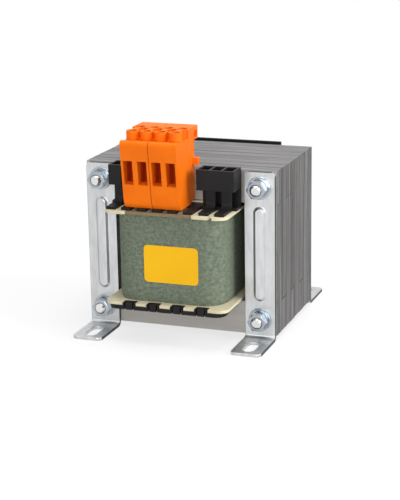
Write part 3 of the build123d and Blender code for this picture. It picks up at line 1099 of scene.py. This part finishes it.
    def _bolt(self, tip: float, end: float) -> Mesh:
        """Bolt along Y: threaded tip in front, plain shank and a hexagon head behind.

        Args:
            tip: Y of the threaded end.
            end: Y of the head's outer face.

        Returns:
            One mesh of the screw and its head, about the bolt's own axis.
        """
        pitch, depth = self.thread_pitch_mm * MM, self.thread_depth_mm * MM
        point = self.bolt - self.end_chamfer_mm * MM
        rings = [self._circle(point, tip)]
        for row in range(int(self.threaded_mm / self.thread_pitch_mm * self.rows_per_pitch) + 1):
            along = row * pitch / self.rows_per_pitch
            ring = []
            for i in range(self.steps):
                phase = (along / pitch - i / self.steps) % 1.0
                radius = min(self.bolt - depth * abs(2 * phase - 1), point + along)
                ring.append(self._around(radius, 2 * math.pi * i / self.steps, tip + along))
            rings.append(ring)
        head = end - self.head_mm * MM
        runout = tip + self.threaded_mm * MM + pitch / 2
        rings += [self._circle(self.bolt, runout), self._circle(self.bolt, head)]
        bolt = skin("bolt", rings, False, self.sharp_degrees)
        with editing(bolt) as work:
            work.from_mesh(skin("bolt_head", self._hexagon(head, end), False, self.sharp_degrees))
        return bolt


@dataclass
class WoundCoil:
    """Ivory former with its fibre-wrapped winding and a plain sticker."""

    flange_edge_mm: float = 0.35
    corner_mm: float = 11.0
    corner_steps: int = 14
    side_steps: int = 10
    rows: int = 22
    sharp_degrees: float = 40.0
    edge_mm: float = 0.5
    ripple_mm: float = 0.10
    ripple_scale: Pair = (26.0, 90.0)  # waves round the wrap, and in a metre of height
    flap_mm: float = 0.28
    flap_span: Pair = (0.16, 0.235)  # shares of the way round
    wall_mm: float = 1.1
    label_mm: Pair = (27.0, 18.0)
    label_x_mm: float = 2.0
    label_level: float = 0.44  # share of the wrap's height
    label_corner_mm: float = 2.0
    label_corner_steps: int = 6
    label_thick_mm: float = 0.14
    label_round_mm: float = 0.0467

    def __post_init__(self) -> None:
        """Take the wrap's box from the frame."""
        self.low, self.high = node_box("outer_wrap")

    def build(self) -> None:
        """Make the former, the wrap and the sticker, and dress the hidden windings."""
        former = softened_copy("coil_former", "coil_former_moulding", self.flange_edge_mm)
        place(former, "ivory_former", IVORY, "coil_former")
        place(new_object("fibre_wrap", self._wrap()), "green_wrap", WRAP, "outer_wrap")
        place(new_object("plain_sticker", self._sticker()), "green_wrap", YELLOW)
        for node in ("primary_winding", "secondary_winding", "lead_wires"):
            dress_node(node, COPPER)
        dress_node("winding_barrier", FILM)
        dress_node("lead_strip", PRESSBOARD)

    def _path(self, inset: float) -> list[tuple[Vector, Vector]]:
        """Way round the wrap.

        Args:
            inset: how far inside the outer face, in metres.

        Returns:
            Point and outward direction of each step, anticlockwise from the rear right corner.
        """
        half = (self.high.x - inset, self.high.y - inset)
        radius = self.corner_mm * MM - inset
        arcs = rounded_corners(half, radius, self.corner_steps)
        arc_step = radius * math.pi / 2 / self.corner_steps
        path = []
        for (a, out_a), (b, out_b) in zip(arcs, arcs[1:] + arcs[:1]):
            parts = self.side_steps if (b - a).length > 2 * arc_step else 1
            path += [(a.lerp(b, i / parts), out_a.lerp(out_b, i / parts)) for i in range(parts)]
        return path

    def _wrap(self) -> Mesh:
        """Closed ring of wrap with rounded rims, soft ripples and an overlapped end at the back.

        Returns:
            The mesh, its overlap on the outer face and the rest of it sunk below.
        """
        outer, inner = self._path(0.0), self._path(self.wall_mm * MM)
        rim = self.edge_mm * MM
        rings = []
        for row in range(self.rows + 1):
            z = self.low.z + (self.high.z - self.low.z) * row / self.rows
            near = min(z - self.low.z, self.high.z - z, rim)
            pull = rim - math.sqrt(rim ** 2 - (rim - near) ** 2)
            ring = []
            for i, (point, out) in enumerate(outer):
                share = i / len(outer)
                wave = noise.noise(Vector((share * self.ripple_scale[0], z * self.ripple_scale[1], 0)))
                step = 0.0 if self.flap_span[0] < share < self.flap_span[1] else self.flap_mm
                sink = pull + (step + abs(wave) * self.ripple_mm) * MM
                ring.append(point - sink * out + Vector((0, 0, z)))
            rings.append(ring)
        rings += [[p + Vector((0, 0, z)) for p, _ in inner] for z in (self.high.z, self.low.z)]
        return skin("fibre_wrap", rings, True, self.sharp_degrees)

    def _sticker(self) -> Mesh:
        """Plain rounded sticker on the flat front of the wrap.

        Returns:
            The mesh of the thin sticker, its outer edge softened.
        """
        radius, soft = self.label_corner_mm * MM, self.label_round_mm * MM
        thick = self.label_thick_mm * MM
        middle = Vector((self.label_x_mm * MM, self.low.y + self.flap_mm * MM,
                         self.low.z + self.label_level * (self.high.z - self.low.z)))
        rings = []
        for inset, y in ((0.0, 0.0), (0.0, soft - thick), (soft, -thick)):
            half_x, half_z = (size * MM / 2 - inset for size in self.label_mm)
            arcs = rounded_corners((half_x, half_z), radius - inset, self.label_corner_steps)
            rings.append([middle + Vector((spot.x, y, spot.y)) for spot, _ in arcs])
        return skin("plain_sticker", rings, False, self.sharp_degrees)


@dataclass
class TerminalCarriers:
    """Black carriers on the upper flange and combs under the lower one, front and back."""

    edge_mm: float = 0.22

    def build(self) -> None:
        """Round the edges of the four mouldings."""
        for end in End:
            for part in ("terminal_carrier", "lower_comb"):
                node = f"{end.value}_{part}"
                place(softened_copy(node, node + "_moulding", self.edge_mm), "black_carrier", BLACK, node)


@dataclass
class TerminalBlock:
    """Two orange housings with their clamps and screws."""

    edge_mm: float = 0.28
    segments: int = 3

    def build(self) -> None:
        """Round the housings' edges and dress the metal inside, the clamps and bars with painted orange
        bounce light.
        """
        for side in Side:
            node = f"terminal_housing_{side.value}"
            piece = softened_copy(node, node + "_moulding", self.edge_mm, self.segments)
            place(piece, "orange_housing", ORANGE, node)
        for node, finish in (("clamp_cages", CLAMP_ORANGE_BOUNCE), ("current_bars", CLAMP_ORANGE_BOUNCE), ("clamp_screws", SCREW)):
            dress_node(node, finish)


@dataclass(frozen=True)
class Lamp:
    """Square soft lamp that looks at the object."""

    name: str
    place_m: Triple
    side_m: float
    watts: float

    def build(self, target: Vector) -> None:
        """Put the lamp in the scene.

        Args:
            target: point that it looks at, in metres.
        """
        data = bpy.data.lights.new(self.name, "AREA")
        data.size = self.side_m
        data.energy = self.watts
        lamp = bpy.data.objects.new(self.name, data)
        turn = (target - Vector(self.place_m)).to_track_quat("-Z", "Y").to_matrix().to_4x4()
        lamp.matrix_world = Matrix.Translation(self.place_m) @ turn
        bpy.context.scene.collection.objects.link(lamp)


@dataclass
class Studio:
    """Pale floor, soft lamps and the camera at the photograph's angle."""

    azimuth_degrees: float = 20.04
    elevation_degrees: float = 15.51
    roll_degrees: float = -0.97
    focal_px: float = 1446.0
    frame_px: float = 500.0
    sensor_mm: float = 36.0
    target_mm: float = 42.5
    slide_mm: Pair = (1.10, 8.99)
    distance_mm: float = 719.9
    clip_m: float = 0.01
    sky: float = 0.30  # strength of the surroundings as light
    lamps: tuple[Lamp, ...] = (Lamp("front", (0.25, -1.30, 0.20), 0.9, 13.5),
                               Lamp("right", (1.20, -0.05, 0.60), 0.8, 14.0),
                               Lamp("top", (0.05, 0.10, 1.15), 0.9, 11.0))
    floor_m: float = 12.0
    floor_roughness: float = 0.9
    floor_colour: Triple = (0.86, 0.86, 0.86)
    floor_bounce: Triple = (0.50, 0.50, 0.50)
    floor_glow: Pair = (0.72, 1.0)
    floor_fade_m: Pair = (0.10, 0.55)

    def build(self) -> None:
        """Set up everything that isn't part of the object."""
        bpy.context.scene.view_settings.view_transform = "Standard"
        self._world()
        self._floor()
        for lamp in self.lamps:
            lamp.build(Vector((0, 0, self.target_mm * MM)))
        self._camera()

    def _camera(self) -> None:
        """Pinhole camera that was fitted to the core's edges."""
        angles = (self.azimuth_degrees, self.elevation_degrees, self.roll_degrees)
        az, el, roll = map(math.radians, angles)
        back = Vector((math.sin(az) * math.cos(el), -math.cos(az) * math.cos(el), math.sin(el)))
        level = Vector((math.cos(az), math.sin(az), 0))
        upright = back.cross(level)
        right = math.cos(roll) * level + math.sin(roll) * upright
        up = math.cos(roll) * upright - math.sin(roll) * level
        target = Vector((0, 0, self.target_mm)) - self.slide_mm[0] * right - self.slide_mm[1] * up
        data = bpy.data.cameras.new("photo_camera")
        data.sensor_width = self.sensor_mm
        data.lens = self.sensor_mm * self.focal_px / self.frame_px
        data.clip_start = self.clip_m
        camera = bpy.data.objects.new("photo_camera", data)
        turn = Matrix((right, up, back)).transposed().to_4x4()
        camera.matrix_world = Matrix.Translation((target + self.distance_mm * back) * MM) @ turn
        bpy.context.scene.collection.objects.link(camera)
        bpy.context.scene.camera = camera

    @staticmethod
    def _seen(graph: Graph) -> NodeSocket:
        """Tell rays from the camera, from gloss and through glass from all others.

        Args:
            graph: graph of the material or the world.

        Returns:
            The socket with one for these rays and zero for the others.
        """
        path = graph.add("ShaderNodeLightPath").outputs
        direct = graph.math("MAXIMUM", path["Is Camera Ray"], path["Is Glossy Ray"])
        return graph.math("MAXIMUM", direct, path["Is Transmission Ray"])

    def _world(self) -> None:
        """White surroundings where they are seen, a softer level as light."""
        world = bpy.data.worlds.new("studio")
        world.use_nodes = True
        bpy.context.scene.world = world
        graph = Graph(world.node_tree)
        sky = world.node_tree.nodes["Background"]
        sky.inputs["Color"].default_value = WHITE
        graph.join(graph.span(self._seen(graph), after=(self.sky, 1.0)), sky.inputs["Strength"])

    def _floor(self) -> None:
        """Pale floor that turns white away from the object and keeps the object's shadow."""
        half = self.floor_m / 2
        corners = [(-half, -half, 0), (half, -half, 0), (half, half, 0), (-half, half, 0)]
        floor = new_object("floor", mesh_from("floor", corners, [(0, 1, 2, 3)]))
        material = bpy.data.materials.new("pale_floor")
        material.use_nodes = True
        graph = Graph(material.node_tree)
        nodes = material.node_tree.nodes
        seen = self._seen(graph)
        shader = nodes["Principled BSDF"]
        shader.inputs["Roughness"].default_value = self.floor_roughness
        graph.join(graph.blend(seen, self.floor_bounce, self.floor_colour), shader.inputs["Base Color"])
        away = graph.add("ShaderNodeVectorMath", operation="LENGTH")
        graph.join(graph.add("ShaderNodeTexCoord").outputs["Object"], away.inputs[0])
        glow = graph.span(away.outputs["Value"], self.floor_fade_m, self.floor_glow,
                          interpolation_type="SMOOTHSTEP")
        white = graph.add("ShaderNodeEmission", {"Color": WHITE, "Strength": 1.0})
        mixed = graph.add("ShaderNodeMixShader")
        graph.join(graph.math("MULTIPLY", seen, glow), mixed.inputs["Fac"])
        graph.join(shader.outputs["BSDF"], mixed.inputs[1])
        graph.join(white.outputs["Emission"], mixed.inputs[2])
        graph.join(mixed.outputs["Shader"], nodes["Material Output"].inputs["Surface"])
        floor.data.materials.append(material)


def main() -> None:
    """Build the sub-assemblies in order, then the studio."""
    logging.basicConfig(level=logging.INFO, format="%(name)s: %(message)s")
    for assembly in (LaminationCore(), FootBrackets(), CoreFasteners(), WoundCoil(), TerminalCarriers(),
                     TerminalBlock()):
        log.info("building %s", type(assembly).__name__)
        assembly.build()
    Studio().build()


if __name__ == "__main__":
    main()
